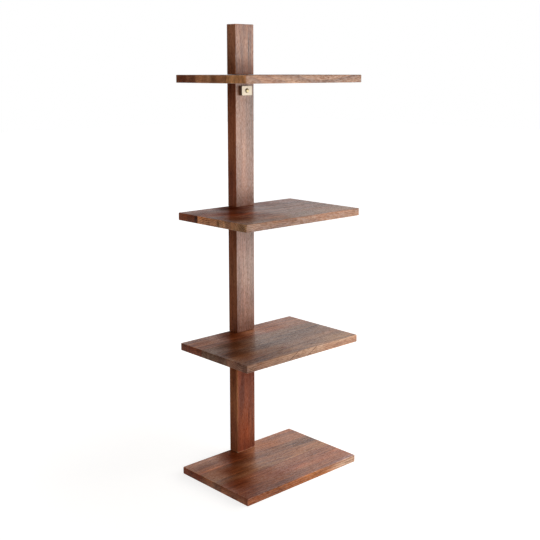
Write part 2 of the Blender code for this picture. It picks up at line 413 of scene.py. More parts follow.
def stain(spot, pattern, board):
    """The colour of the wood: its stave's, toned by the pattern, and then all that lies on it."""
    staves = board.staves
    face = stave_colour(spot.joints, [stave.colour for stave in staves])
    end = stave_colour(spot.joints, [stave.end_colour for stave in staves])
    ring_depth = by_stave(spot.joints, [stave.ring_depth for stave in staves])
    tone = TONE_MIDDLE + CLOUD_TONE * (pattern.cloud - 0.5) + STREAK_TONE * (pattern.streak - 0.5)
    tone = tone + FIBRE_TONE * (pattern.fibre - 0.5) - pattern.ring * ring_depth
    tint = mix(spot.sawn_end, face, end)
    colour = vectors("MULTIPLY", mix(tone, DARK_SHARE, LIGHT_SHARE), tint)
    colour = shade(colour, pattern.blush, BLUSH_SHARE)
    colour = shade(colour, spot.side * (1 - spot.sawn_end), board.side_share)
    # The blots' tints: stain on some, painted light and shade on others
    for blot, mask in spot.blots:
        colour = shade(colour, mask, blot.tint)
    for stave in staves[:-1]:
        to_joint = spot.across.math("ABSOLUTE", spot.across - stave.edge)
        colour = shade(colour, 1 - rise(to_joint, GLUE_LINE / 3, GLUE_LINE), GLUE_SHARE)
    for scarf in board.scarfs:
        front = spot.side * spot.across.math("LESS_THAN", spot.across, 0.0)
        line = spot.along - SCARF_SLOPE * spot.through - scarf
        on_line = 1 - rise(line.math("ABSOLUTE", line), SCARF_CORE, SCARF_LINE)
        colour = shade(colour, front * on_line, SCARF_SHARE)
    colour = shade(colour, pattern.fleck * pattern.speckle, FLECK_SHARE)
    colour = shade(colour, PORE_STAIN * pattern.pore, PORE_SHARE)
    worn = WORN_STAIN * spot.edge * rise(pattern.cloud, *WORN_RISE)
    return shade(colour, worn, WORN_SHARE)


# %% [markdown]
# ### Oil and relief
#
# The stained wood itself is matt, and a thin coat of oil over it carries all the sheen. A single
# roughness for the board would make it look like plastic. So the coat is uneven: it sinks into the
# pores, the small flecks and the thirsty sawn ends, and the sheen breaks up along the grain.

# %% Oil the wood, and give it its relief
OIL_IOR = 2.0
OIL_ROUGHNESS = 0.34
END_OIL = 0.20
THIRST_RISE = (0.38, 0.62)
PORE_THIRST = 0.8
WOOD_ROUGHNESS = 0.45
PORE_ROUGHNESS = 0.10
STREAK_ROUGHNESS = 0.20
CLOUD_ROUGHNESS = 0.16
STREAK_RELIEF = 0.5
FIBRE_RELIEF = 0.4
PORE_RELIEF = -0.8
RING_RELIEF = -0.25
FLECK_RELIEF = -0.9
RELIEF_STRENGTH = 0.30
RELIEF_DEPTH = 0.0006


def oil_coat(spot, pattern, board):
    """How much oil still lies on the wood."""
    thirst = pattern.speckle * rise(pattern.flake, *THIRST_RISE)
    oil = board.oil * (1 - thirst) * (1 - PORE_THIRST * pattern.pore)
    oil = oil * (1 - (1 - board.side_oil) * spot.side) * (1 - (1 - END_OIL) * spot.sawn_end)
    for blot, mask in spot.blots:
        if blot.dry:
            oil = oil * (1 - blot.dry * mask)
    return oil


def wood(name, board):
    """The finish of a board. Its colour, roughness, oil and normal vary, and the rest is fixed."""
    material, start, shader = new_finish(name)
    spot = Spot(start, board)
    pattern = Pattern(spot, board)
    relief = STREAK_RELIEF * pattern.streak + FIBRE_RELIEF * pattern.fibre
    relief = relief + PORE_RELIEF * pattern.pore + RING_RELIEF * pattern.ring
    relief = relief + FLECK_RELIEF * pattern.fleck
    bump = {"Strength": RELIEF_STRENGTH, "Distance": RELIEF_DEPTH, "Height": relief}
    gloss = WOOD_ROUGHNESS + PORE_ROUGHNESS * pattern.pore
    gloss = gloss + STREAK_ROUGHNESS * (pattern.streak - 0.5)
    gloss = gloss + CLOUD_ROUGHNESS * (pattern.cloud - 0.5)
    shader.inputs["Specular IOR Level"].default_value = 0.0
    shader.inputs["Coat IOR"].default_value = OIL_IOR
    shader.inputs["Coat Roughness"].default_value = OIL_ROUGHNESS
    feed(
        shader,
        Base_Color=stain(spot, pattern, board),
        Roughness=gloss,
        Coat_Weight=oil_coat(spot, pattern, board),
        Normal=relief.node("ShaderNodeBump", inputs=bump),
    )
    print(name, "has", len(material.node_tree.nodes), "nodes")
    return material


# %% [markdown]
# ## The shelf panels
#
# A panel is a sawn and planed board whose long edges are eased with a few strokes, and whose four
# corners are rounded a little more, so that nobody bruises a hip on them. It could be the packed
# block with a Bevel modifier, but all its edges would then have one radius. Here a cube is set to
# the block's size, its upright edges are bevelled first, and then the two loops round its top and
# underside. The holes for the fittings are cut last, each 0.3 mm clear of the piece that goes
# in it.

# %% Tools for shaping a block by hand
ON_FACE = 1e-6
STRAIGHT = 0.99


def select_only(piece):
    """Selects one piece and makes it the active one."""
    bpy.ops.object.select_all(action="DESELECT")
    piece.select_set(True)
    bpy.context.view_layer.objects.active = piece


def add_block(name, low, high):
    """A plain block from low to high, alone selected, with its place in its mesh."""
    bpy.ops.mesh.primitive_cube_add(size=1, location=(low + high) / 2, scale=high - low)
    bpy.context.object.name = name
    bpy.ops.object.transform_apply(location=True, rotation=True, scale=True)
    return bpy.context.object


def bevel_where(piece, wanted, radius, segments):
    """Rounds the edges that the test picks by their two ends."""
    select_only(piece)
    bpy.ops.object.mode_set(mode="EDIT")
    bpy.ops.mesh.select_mode(type="EDGE")
    bpy.ops.mesh.select_all(action="DESELECT")
    shape = bmesh.from_edit_mesh(piece.data)
    for edge in shape.edges:
        edge.select_set(wanted(*(corner.co for corner in edge.verts)))
    bmesh.update_edit_mesh(piece.data)
    bpy.ops.mesh.bevel(offset=radius, segments=segments, affect="EDGES")
    bpy.ops.object.mode_set(mode="OBJECT")


def lies_along(axis):
    """A test for edges that run along an axis."""
    return lambda start, end: abs((end - start).normalized()[axis]) > STRAIGHT


def lies_in_end(axis, low, high):
    """A test for edges that lie in the block's two faces across an axis."""
    return lambda start, end: any(
        abs(start[axis] - face) < ON_FACE and abs(end[axis] - face) < ON_FACE
        for face in (low[axis], high[axis])
    )


# %% Tools for cutting and smoothing
SMOOTH_ANGLE = math.radians(40)
ROUND_FACETS = 48


def cut_away(piece, tool, operation="DIFFERENCE"):
    """Cuts the tool's shape out of the piece, or welds it on with UNION, and deletes the tool."""
    bpy.context.view_layer.objects.active = piece
    boolean = piece.modifiers.new("Cut", "BOOLEAN")
    boolean.operation = operation
    boolean.solver = "EXACT"
    boolean.object = tool
    bpy.ops.object.modifier_apply(modifier=boolean.name)
    bpy.data.objects.remove(tool)


def add_rod(radius, start, end, facets=ROUND_FACETS, end_radius=None, up="X"):
    """A rod between two points, or a cone where its end has a radius of its own."""
    way = end - start
    bpy.ops.mesh.primitive_cone_add(
        vertices=facets, radius1=radius, radius2=radius if end_radius is None else end_radius,
        depth=way.length, location=(start + end) / 2,
        rotation=way.to_track_quat("Z", up).to_euler(),
    )
    bpy.ops.object.transform_apply(location=True, rotation=True, scale=True)
    return bpy.context.object


def smooth(piece):
    """Shades round parts round. Flat faces stay flat, because their area outweighs the rest."""
    select_only(piece)
    bpy.ops.object.shade_smooth_by_angle(angle=SMOOTH_ANGLE)
    weighted = piece.modifiers.new("Weighted", "WEIGHTED_NORMAL")
    weighted.keep_sharp = True
    bpy.ops.object.modifier_apply(modifier=weighted.name)


# %% Shape the panels
FIT_GAP = 0.0003
PANEL_CORNER_RADIUS = 0.003
PANEL_CORNER_STEPS = 6
PANEL_ARRIS_RADIUS = 0.0018
PANEL_ARRIS_STEPS = 5
LEVELS = (1, 2, 3, 4)
SIDES = ("left", "right")
UPRIGHT = 2


def bore_for(piece, node):
    """Bores the piece for a round fitting that stands upright in it."""
    low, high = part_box(node)
    middle = (low + high) / 2
    foot = Vector((middle.x, middle.y, low.z - FIT_GAP))
    head = Vector((middle.x, middle.y, high.z + FIT_GAP))
    cut_away(piece, add_rod((high.x - low.x) / 2 + FIT_GAP, foot, head))


panels = {}
for level in LEVELS:
    low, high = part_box(f"shelf_{level}")
    panel = add_block(f"panel_{level}", low, high)
    bevel_where(panel, lies_along(UPRIGHT), PANEL_CORNER_RADIUS, PANEL_CORNER_STEPS)
    bevel_where(panel, lies_in_end(UPRIGHT, low, high), PANEL_ARRIS_RADIUS, PANEL_ARRIS_STEPS)
    for side in SIDES:
        bore_for(panel, f"shelf_{level}_cam_bolt_{side}")
        bore_for(panel, f"shelf_{level}_dowel_{side}")
    smooth(panel)
    panels[level] = panel
print("A panel has", len(panels[2].data.polygons), "faces")

# %% [markdown]
# ## The post blocks
#
# The post is four blocks, one on each panel, and all their edges are eased alike, so that a fine
# light line shows where a block stands on a panel; on the bottom block that line is also a painted
# highlight. From behind, each end that meets a panel has two round pockets for the cams that pull
# the joint tight. A pocket is bored with a flat drill, and its rim is broken, which keeps the stain
# from chipping there.

# %% Shape the post blocks
BLOCK_EDGE_RADIUS = 0.0017
BLOCK_EDGE_STEPS = 5
RIM_WIDTH = 0.0005
OVERRUN = 0.005


def any_edge(start, end):
    """A test that picks every edge."""
    return True


def pocket_for(block, cam_node, wall_y):
    """Bores a cam's pocket from the wall side, and breaks its rim."""
    low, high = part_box(cam_node)
    middle = (low + high) / 2
    radius = (high.x - low.x) / 2 + FIT_GAP
    floor = Vector((middle.x, low.y - FIT_GAP, middle.z))
    mouth = Vector((middle.x, wall_y, middle.z))
    back = Vector((0, OVERRUN, 0))
    cut_away(block, add_rod(radius, floor, mouth + back))
    rim = Vector((0, RIM_WIDTH, 0))
    wide = radius + RIM_WIDTH + OVERRUN
    cut_away(block, add_rod(radius, mouth - rim, mouth + back, end_radius=wide))


blocks = {}
for level in LEVELS:
    low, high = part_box(f"post_block_{level}")
    block = add_block(f"block_{level}", low, high)
    bevel_where(block, any_edge, BLOCK_EDGE_RADIUS, BLOCK_EDGE_STEPS)
    for side in SIDES:
        for fitting in ("cam_bolt", "dowel"):
            bore_for(block, f"shelf_{level}_{fitting}_{side}")
            if level < LEVELS[-1]:
                bore_for(block, f"shelf_{level + 1}_{fitting}_{side}")
        for end in ("low", "high") if level < LEVELS[-1] else ("low",):
            pocket_for(block, f"block_{level}_cam_{end}_{side}", high.y)
    blocks[level] = block
print("Blocks in the post:", len(blocks))

# %% Bore the post for the wall screw
SCREW_RADIUS = 0.003
SCREWED_BLOCK = 3
plate_low, plate_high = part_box("wall_plate")
screw_low, screw_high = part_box("wall_screw")
screw_axis = (screw_low + screw_high) / 2
through_post = (
    Vector((screw_axis.x, screw_low.y, screw_axis.z)),
    Vector((screw_axis.x, screw_high.y, screw_axis.z)),
)
cut_away(blocks[SCREWED_BLOCK], add_rod(SCREW_RADIUS + FIT_GAP, *through_post))
for block in blocks.values():
    smooth(block)
print("A block has", len(blocks[1].data.polygons), "faces")

# %% [markdown]
# ## The colours of the boards
#
# The wood is a dark stained hardwood. No two boards of it are alike: one is nearly red, the next
# is grey brown, and a strip of pale sapwood may run along an edge. The panels are glued from three
# or four staves, so each panel gets its own list of them, from the front edge to the wall.
#
# Each piece then has its list of blots. Some are the wood's own: knots, streaks and patches of
# stain. Others are painted light and shade. On a lower top, painted shade makes a dark band from
# the post to the front left corner, where the post's mirror image dims the sheen, and the oil is
# thinner there too. The foot of a block, and its top under a shelf, carry painted shade, and a few
# places carry painted sheen. A noise would put such places anywhere, so each blot has its own.

# %% Paint the dark band of shade on a panel's top
# Painted shade: the band's tints darken a top where the post is mirrored in it, and its oil is
# thinned there too. The tints beside the band and right of the post are painted light and shade.
BAND_PLACES = ((-0.055, 0.125), (-0.070, 0.080), (-0.125, 0.020), (-0.180, -0.045))
BAND_REACH = (0.080, 0.070, 0.016)
BAND_DRY = 0.8
BESIDE_PLACES = {(-0.190, 0.060): 0.50, (-0.100, -0.095): 0.40}
BESIDE_REACH = (0.130, 0.110, 0.016)
BY_POST = (0.075, 0.100)
BY_POST_REACH = (0.080, 0.080, 0.016)
BY_POST_TINT = (1.00, 0.97, 0.92)
BY_POST_DRY = 0.28


def painted_shade_band(top, tint, beside_tint):
    """Painted shade: a dry, dark band where the post is mirrored in a top, painted light and shade
    beside it, and a drier, faintly tinted place right of the post.
    """
    band = [Blot((x, y, top), BAND_REACH, tint, dry=BAND_DRY) for x, y in BAND_PLACES]
    beside = [
        Blot((x, y, top), BESIDE_REACH, beside_tint, dry=dry)
        for (x, y), dry in BESIDE_PLACES.items()
    ]
    by_post = Blot((*BY_POST, top), BY_POST_REACH, BY_POST_TINT, dry=BY_POST_DRY)
    return [*band, *beside, by_post]


# %% Choose the staves of the panels
panel_staves = {
    4: [
        Stave(-0.070, (168, 112, 80), (209, 147, 98), (0.060, -0.050), 3.1, 0.45),
        Stave(-0.010, (132, 84, 60), (171, 119, 82), (0.050, 0.070), 5.9),
        Stave(0.060, (148, 96, 70), (184, 131, 94), (0.020, -0.070), 8.2),
        Stave(0.149, (130, 74, 52), (138, 85, 58), (0.170, 0.050), 11.7),
    ],
    3: [
        Stave(-0.085, (154, 106, 76), (186, 135, 95), (-0.160, -0.030), 14.3, 0.45),
        Stave(-0.030, (150, 97, 66), (194, 144, 108), (-0.060, 0.060), 17.5, 0.45),
        Stave(0.060, (148, 90, 60), (214, 151, 111), (0.015, -0.060), 20.1, 0.45),
        Stave(0.149, (146, 84, 57), (128, 68, 41), (0.120, 0.060), 23.6, 0.40),
    ],
    2: [
        Stave(-0.060, (151, 101, 66), (142, 99, 78), (-0.130, 0.060), 26.2, 0.40),
        Stave(0.050, (138, 93, 63), (128, 96, 77), (0.000, -0.055), 29.8, 0.40),
        Stave(0.149, (166, 104, 68), (134, 78, 54), (0.095, 0.070), 32.4, 0.40),
    ],
    1: [
        Stave(-0.030, (160, 93, 56), (160, 100, 71), (-0.090, -0.060), 35.9),
        Stave(0.008, (171, 114, 72), (145, 99, 77), (-0.020, 0.060), 38.3),
        Stave(0.066, (144, 92, 58), (155, 100, 75), (0.040, -0.050), 41.6, 0.35),
        Stave(0.149, (170, 105, 68), (136, 72, 49), (0.110, 0.060), 44.8),
    ],
}
print("Staves in the panels:", {level: len(staves) for level, staves in panel_staves.items()})

# %% Choose the blots of the panels
panel_blots = {
    4: [
        Blot((-0.225, -0.020, 1.187), (0.040, 0.022, 0.020), (0.62, 0.58, 0.55)),
        Blot((-0.225, 0.125, 1.187), (0.060, 0.030, 0.030), (0.80, 0.62, 0.55)),
    ],
    3: [
        Blot((-0.225, 0.067, 0.796), (0.040, 0.010, 0.014), (0.38, 0.34, 0.34), bend=0.005),
        Blot((-0.225, -0.030, 0.793), (0.030, 0.008, 0.020), (0.45, 0.46, 0.42)),
        Blot((-0.225, -0.054, 0.795), (0.030, 0.005, 0.030), (1.35, 1.30, 1.20)),
        Blot((-0.225, -0.128, 0.795), (0.050, 0.026, 0.030), (0.72, 0.74, 0.72)),
        Blot((-0.105, -0.004, 0.806), (0.090, 0.028, 0.020), (1.70, 1.35, 1.10)),
        Blot((0.080, 0.015, 0.806), (0.160, 0.008, 0.010), (0.78, 0.72, 0.66), dry=0.35),
        Blot((0.110, -0.060, 0.806), (0.130, 0.007, 0.010), (0.80, 0.74, 0.68), dry=0.30),
        # Painted sheen at the front right of the top
        Blot((0.165, -0.115, 0.806), (0.100, 0.060, 0.012), (1.40, 1.45, 1.35)),
        # Painted shade left of the post, where it is mirrored, with the oil thinned
        Blot((-0.075, -0.030, 0.806), (0.070, 0.055, 0.016), (0.94, 0.86, 0.76), dry=0.25),
        # The next three are painted sheen on the left half of the top
        Blot((-0.175, 0.045, 0.806), (0.090, 0.060, 0.016), (1.40, 1.28, 1.05)),
        Blot((-0.175, -0.035, 0.806), (0.070, 0.050, 0.016), (1.32, 1.30, 1.15)),
        Blot((-0.075, -0.112, 0.806), (0.060, 0.050, 0.016), (1.35, 1.30, 1.15)),
        # Painted shade: the dark band where the post is mirrored
        *painted_shade_band(0.806, (0.62, 0.48, 0.38), (1.12, 0.98, 0.82)),
    ],
    2: [
        Blot((-0.030, -0.091, 0.414), (0.022, 0.010, 0.012), (0.85, 0.60, 0.50), bend=0.004),
        Blot((-0.225, 0.105, 0.403), (0.050, 0.040, 0.020), (0.95, 0.75, 0.70)),
        # Painted shade on the left of the front edge
        Blot((-0.200, -0.149, 0.403), (0.130, 0.020, 0.030), (0.80, 0.70, 0.62)),
        # Painted sheen at the front right of the top
        Blot((0.165, -0.115, 0.414), (0.100, 0.060, 0.012), (1.12, 1.38, 1.50)),
        # Painted shade at the front left of the top, where the post is mirrored, with the oil
        # thinned
        Blot((-0.170, -0.115, 0.414), (0.090, 0.060, 0.016), (0.84, 0.74, 0.68), dry=0.20),
        # Painted warm sheen at the back left of the top, with the oil thinned
        Blot((-0.170, 0.115, 0.414), (0.090, 0.050, 0.016), (1.18, 1.02, 0.76), dry=0.20),
        # Painted shade: the dark band where the post is mirrored
        *painted_shade_band(0.414, (0.60, 0.44, 0.34), (0.86, 0.80, 0.72)),
    ],
    1: [
        Blot((-0.225, 0.070, 0.011), (0.050, 0.020, 0.020), (0.90, 0.70, 0.62)),
        Blot((0.000, -0.080, 0.022), (0.120, 0.030, 0.012), (0.90, 0.72, 0.64)),
        # Painted sheen on the right of the front edge
        Blot((0.200, -0.149, 0.011), (0.130, 0.020, 0.030), (1.30, 2.40, 6.20)),
        # Painted shade on the left of the front edge
        Blot((-0.225, -0.149, 0.011), (0.160, 0.020, 0.030), (0.75, 0.58, 0.46)),
        # Painted shade at the front left of the top, where the post is mirrored, with the oil
        # thinned
        Blot((-0.200, -0.115, 0.022), (0.090, 0.060, 0.016), (0.76, 0.60, 0.50), dry=0.20),
        # Painted sheen at the middle left of the top
        Blot((-0.175, 0.045, 0.022), (0.090, 0.060, 0.016), (1.32, 1.20, 1.05)),
        # Painted shade left of the post, where it is mirrored, with the oil thinned
        Blot((-0.075, -0.030, 0.022), (0.070, 0.055, 0.016), (0.92, 0.82, 0.74), dry=0.25),
        # Painted shade: the dark band where the post is mirrored
        *painted_shade_band(0.022, (0.50, 0.34, 0.26), (0.86, 0.78, 0.70)),
    ],
}
print("Blots on the panels:", {level: len(blots) for level, blots in panel_blots.items()})

# %% Stain the panels
PANEL_GRAIN = "XYZ"
PANEL_SPECKLE = 0.38
PANEL_OIL = 1.0
PANEL_SIDE_OIL = 0.60
PANEL_SIDES = {
    4: (0.87, 1.04, 1.16), 3: (0.90, 0.84, 0.70), 2: (1.26, 1.65, 2.40), 1: (1.45, 1.55, 1.10),
}
PANEL_SCARFS = {2: (0.028, -0.048)}


def dress(piece, material, slot, *nodes):
    """Gives a piece its finish, fixes it to the shelf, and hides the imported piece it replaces."""
    piece.data.materials.clear()
    piece.data.materials.append(material)
    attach(piece, "root")
    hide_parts(*nodes)


for level, panel in panels.items():
    node = f"shelf_{level}"
    board = Board(
        PANEL_GRAIN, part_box(node), panel_staves[level], panel_blots[level], PANEL_SIDES[level],
        PANEL_SPECKLE, PANEL_OIL, PANEL_SIDE_OIL, PANEL_SCARFS.get(level, ()),
    )
    dress(panel, wood(f"wood_panel_{level}", board), "stained_wood", node)

# %% Choose the staves and blots of the post blocks
BLOCK_END = (150, 92, 64)
BLOCK_RINGS = 0.2
# Painted shade at the foot of each block, where it stands on its panel
PAINTED_FOOT_SHADE = (0.62, 0.54, 0.50)
PAINTED_FOOT_REACH = (0.090, 0.090, 0.065)

block_staves = {
    4: [Stave(0.036, (172, 113, 82), BLOCK_END, (0.015, 0.060), 50.3, BLOCK_RINGS)],
    3: [Stave(0.036, (142, 95, 71), BLOCK_END, (-0.030, 0.070), 53.9, BLOCK_RINGS)],
    2: [Stave(0.036, (146, 95, 72), BLOCK_END, (0.040, 0.060), 57.1, BLOCK_RINGS)],
    1: [Stave(0.036, (129, 64, 38), BLOCK_END, (-0.020, 0.070), 60.7, BLOCK_RINGS)],
}
block_blots = {
    4: [
        # Painted shade at the block's foot
        Blot((0.0, 0.130, 1.198), PAINTED_FOOT_REACH, PAINTED_FOOT_SHADE),
        # Painted shade low on the left face
        Blot((-0.036, 0.130, 1.198), (0.016, 0.060, 0.120), (0.60, 0.55, 0.52)),
        Blot((0.015, 0.111, 1.270), (0.0035, 0.030, 0.090), (0.30, 0.26, 0.26)),
        # Painted shade low on the front: a warmer tint, with the oil thinned
        Blot((0.0, 0.111, 1.205), (0.120, 0.060, 0.060), (1.05, 0.95, 0.86), dry=0.35),
    ],
    3: [
        # Painted shade at the block's foot
        Blot((0.0, 0.130, 0.806), PAINTED_FOOT_REACH, PAINTED_FOOT_SHADE),
        # Painted shade low on the left face
        Blot((-0.036, 0.135, 0.880), (0.014, 0.050, 0.100), (0.74, 0.66, 0.72)),
        Blot((0.036, 0.111, 1.020), (0.050, 0.050, 0.300), (0.76, 0.80, 0.84)),
    ],
    2: [
        # Painted shade at the block's foot
        Blot((0.0, 0.130, 0.414), PAINTED_FOOT_REACH, PAINTED_FOOT_SHADE),
        Blot((0.036, 0.111, 0.640), (0.055, 0.050, 0.320), (0.62, 0.68, 0.74)),
        # Painted shade at the top of the block, under the shelf above, with the oil thinned
        Blot((0.0, 0.111, 0.784), (0.120, 0.060, 0.150), (0.76, 0.74, 0.72), dry=0.35),
        # Painted sheen in the middle of the block's front
        Blot((0.0, 0.111, 0.600), (0.120, 0.060, 0.090), (1.10, 1.30, 1.45)),
    ],
    1: [
        # Painted shade at the block's foot
        Blot((0.0, 0.130, 0.022), PAINTED_FOOT_REACH, PAINTED_FOOT_SHADE),
        # Painted highlight along the front left arris
        Blot((-0.035, 0.111, 0.200), (0.006, 0.008, 0.260), (1.35, 1.60, 1.60)),
        Blot((0.006, 0.111, 0.120), (0.005, 0.020, 0.120), (1.30, 1.35, 1.30)),
        # Painted shade at the top of the block, under the shelf above, with the oil thinned
        Blot((0.0, 0.111, 0.370), (0.120, 0.060, 0.180), (0.76, 0.64, 0.58), dry=0.60),
        # Painted light low on the right of the front
        Blot((0.030, 0.111, 0.090), (0.026, 0.030, 0.100), (1.30, 1.80, 2.40)),
        # Painted shade low on the left face
        Blot((-0.036, 0.135, 0.090), (0.014, 0.050, 0.100), (0.66, 0.58, 0.64)),
        # Painted highlight: the light line where the block stands on the bottom panel
        Blot((0.0, 0.109, 0.024), (0.150, 0.010, 0.005), (2.40, 4.80, 7.50)),
    ],
}
print("Blots on the blocks:", {level: len(blots) for level, blots in block_blots.items()})

# %% Stain the post blocks
BLOCK_GRAIN = "ZXY"
BLOCK_SPECKLE = 0.50
BLOCK_OIL = {4: 0.92, 3: 0.80, 2: 0.72, 1: 0.36}
BLOCK_SIDE_OIL = 0.15
BLOCK_SIDES = {
    4: (1.05, 1.10, 1.15), 3: (1.18, 0.88, 0.70), 2: (1.04, 0.84, 0.62), 1: (1.55, 2.30, 2.60),
}

for level, block in blocks.items():
    node = f"post_block_{level}"
    board = Board(
        BLOCK_GRAIN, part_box(node), block_staves[level], block_blots[level], BLOCK_SIDES[level],
        BLOCK_SPECKLE, BLOCK_OIL[level], BLOCK_SIDE_OIL,
    )
    dress(block, wood(f"wood_block_{level}", board), "stained_wood", node)

# %% [markdown]
# ## The brass plate and its screw
#
# A small block of satin brass sits on the post under the top shelf, and a dome-head screw goes
# through it into the wall. The block is sawn from bar: its edges are just broken, and the screw's
# hole goes straight through its middle. The screw has a slotted dome, a plain shank and a coarse
# thread. Its body is an outline spun about the axis. The thread could be drawn as rings, but rings
# don't wind: a Screw modifier winds it from one small triangle instead. It fades in after the
# shank, narrows with the point, and is welded to the body.

# %% Shape the brass plate
PLATE_EDGE_RADIUS = 0.0008
PLATE_EDGE_STEPS = 4
plate = add_block("brass_plate", plate_low, plate_high)
bevel_where(plate, any_edge, PLATE_EDGE_RADIUS, PLATE_EDGE_STEPS)
cut_away(plate, add_rod(SCREW_RADIUS + FIT_GAP, *through_post))
smooth(plate)
print("The plate has", len(plate.data.polygons), "faces")

# %% Finish the brass
PLATE_BRASS = (0.375, 0.33, 0.265)
PLATE_BRUSH = (120, 120, 5200)
SCREW_BRASS = (0.50, 0.43, 0.26)
SCREW_BRUSH = (900, 40, 900)
BRUSH_DETAIL = (3.0, 0.6)
BRUSH_SHADE = 0.5
BRUSH_ROUGHNESS = 0.12
BRUSH_RELIEF = 0.15
BLOOM = ((60, 60, 60), 2.0)
BLOOM_RISE = (0.3, 0.7)
BLOOM_ROUGHNESS = 0.1
BRASS_ROUGHNESS = 0.42
BRASS_SHADE = 0.86
METAL_RELIEF_DEPTH = 0.0001


def brass(name, colour, brush):
    """Satin brass, with brush lines across the directions where the brush has large numbers."""
    material, start, shader = new_finish(name)
    place = start.node("ShaderNodeTexCoord", output="Object")
    lines = noise(place, brush, *BRUSH_DETAIL)
    bloom = noise(place, *BLOOM)
    darker = tuple(BRASS_SHADE * share for share in colour)
    tone = rise(bloom + BRUSH_SHADE * (lines - 0.5), *BLOOM_RISE)
    gloss = BRASS_ROUGHNESS + BRUSH_ROUGHNESS * (lines - 0.5) + BLOOM_ROUGHNESS * (bloom - 0.5)
    bump = {"Strength": BRUSH_RELIEF, "Distance": METAL_RELIEF_DEPTH, "Height": lines}
    normal = lines.node("ShaderNodeBump", inputs=bump)
    shader.inputs["Metallic"].default_value = 1.0
    feed(shader, Base_Color=mix(tone, darker, colour), Roughness=gloss, Normal=normal)
    return material


dress(plate, brass("brass_satin", PLATE_BRASS, PLATE_BRUSH), "brass", "wall_plate")
print("The plate's finish:", plate.data.materials[0].name)

# %% Draw and spin the screw's body
DOME_RADIUS = 0.0065
DOME_HEIGHT = 0.0038
DOME_STEPS = 8
SHANK_RADIUS = 0.0027
ROOT_RADIUS = 0.0021
SCREW_POINT = 0.009
THREAD_HALF = 0.0008
THREAD_PITCH = 0.0026
THREAD_TURNS = 15
THREAD_STOP = 0.0013
WELD_GAP = 1e-5
thread_start = screw_high.y - THREAD_STOP - THREAD_TURNS * THREAD_PITCH
seat_y = screw_low.y + DOME_HEIGHT


def add_outline(name, points, edges, place=(0, 0, 0)):
    """A line of edges to be spun or wound, alone selected."""
    mesh = bpy.data.meshes.new(name)
    mesh.from_pydata(points, edges, [])
    outline = bpy.data.objects.new(name, mesh)
    outline.location = place
    bpy.context.scene.collection.objects.link(outline)
    select_only(outline)
    return outline


profile = [(0.0, screw_low.y)]
for step in range(1, DOME_STEPS + 1):
    angle = math.pi / 2 * step / DOME_STEPS
    profile.append((DOME_RADIUS * math.sin(angle), seat_y - DOME_HEIGHT * math.cos(angle)))
profile += [
    (DOME_RADIUS, seat_y),
    (SHANK_RADIUS, seat_y),
    (SHANK_RADIUS, thread_start - THREAD_HALF),
    (ROOT_RADIUS, thread_start),
    (ROOT_RADIUS, screw_high.y - SCREW_POINT),
    (0.0, screw_high.y),
]
screw = add_outline(
    "wall_screw_brass",
    [(screw_axis.x + radius, y, screw_axis.z) for radius, y in profile],
    [(index, index + 1) for index in range(len(profile) - 1)],
)
bpy.ops.object.mode_set(mode="EDIT")
bpy.ops.mesh.select_all(action="SELECT")
bpy.ops.mesh.spin(steps=ROUND_FACETS, angle=math.tau, center=screw_axis, axis=(0, 1, 0))
bpy.ops.mesh.select_all(action="SELECT")
bpy.ops.mesh.remove_doubles(threshold=WELD_GAP)
bpy.ops.mesh.normals_make_consistent(inside=False)
bpy.ops.object.mode_set(mode="OBJECT")
print("The thread starts", round(1000 * (thread_start - screw_low.y)), "mm behind the dome's top")

# %% Cut the slot in the dome
SLOT_WIDTH = 0.0014
SLOT_DEPTH = 0.0016
slot_half = Vector((2 * DOME_RADIUS, 0, SLOT_WIDTH / 2))
slot_mouth = Vector((screw_axis.x, screw_low.y - OVERRUN, screw_axis.z))
slot_floor = Vector((screw_axis.x, screw_low.y + SLOT_DEPTH, screw_axis.z))
cut_away(screw, add_block("slot", slot_mouth - slot_half, slot_floor + slot_half))
print("The slot is", round(1000 * SLOT_DEPTH, 1), "mm deep")

# %% Wind the thread
THREAD_FOOT = 0.0017
THREAD_FACETS = 24
thread = add_outline(
    "thread",
    [(THREAD_FOOT, -THREAD_HALF, 0), (SCREW_RADIUS, 0, 0), (THREAD_FOOT, THREAD_HALF, 0)],
    [(0, 1), (1, 2), (2, 0)],
    (screw_axis.x, thread_start, screw_axis.z),
)
winding = thread.modifiers.new("Winding", "SCREW")
winding.axis = "Y"
winding.screw_offset = THREAD_PITCH
winding.iterations = THREAD_TURNS
winding.steps = THREAD_FACETS
winding.render_steps = THREAD_FACETS
bpy.ops.object.modifier_apply(modifier=winding.name)

for corner in thread.data.vertices:
    radius = math.hypot(corner.co.x, corner.co.z)
    point_share = min(1.0, (screw_high.y - thread_start - corner.co.y) / SCREW_POINT)
    fade_share = min(1.0, max(0.0, corner.co.y / THREAD_PITCH))
    share = point_share * (THREAD_FOOT + (radius - THREAD_FOOT) * fade_share) / radius
    corner.co.x *= share
    corner.co.z *= share

bpy.ops.object.mode_set(mode="EDIT")
bpy.ops.mesh.select_all(action="SELECT")
bpy.ops.mesh.fill_holes(sides=3)
bpy.ops.mesh.select_all(action="SELECT")
bpy.ops.mesh.normals_make_consistent(inside=False)
bpy.ops.object.mode_set(mode="OBJECT")
bpy.ops.object.transform_apply(location=True, rotation=True, scale=True)
cut_away(screw, thread, "UNION")
smooth(screw)
dress(screw, brass("brass_screw", SCREW_BRASS, SCREW_BRUSH), "brass", "wall_screw")
print("The screw has", THREAD_TURNS, "turns and", len(screw.data.polygons), "faces")

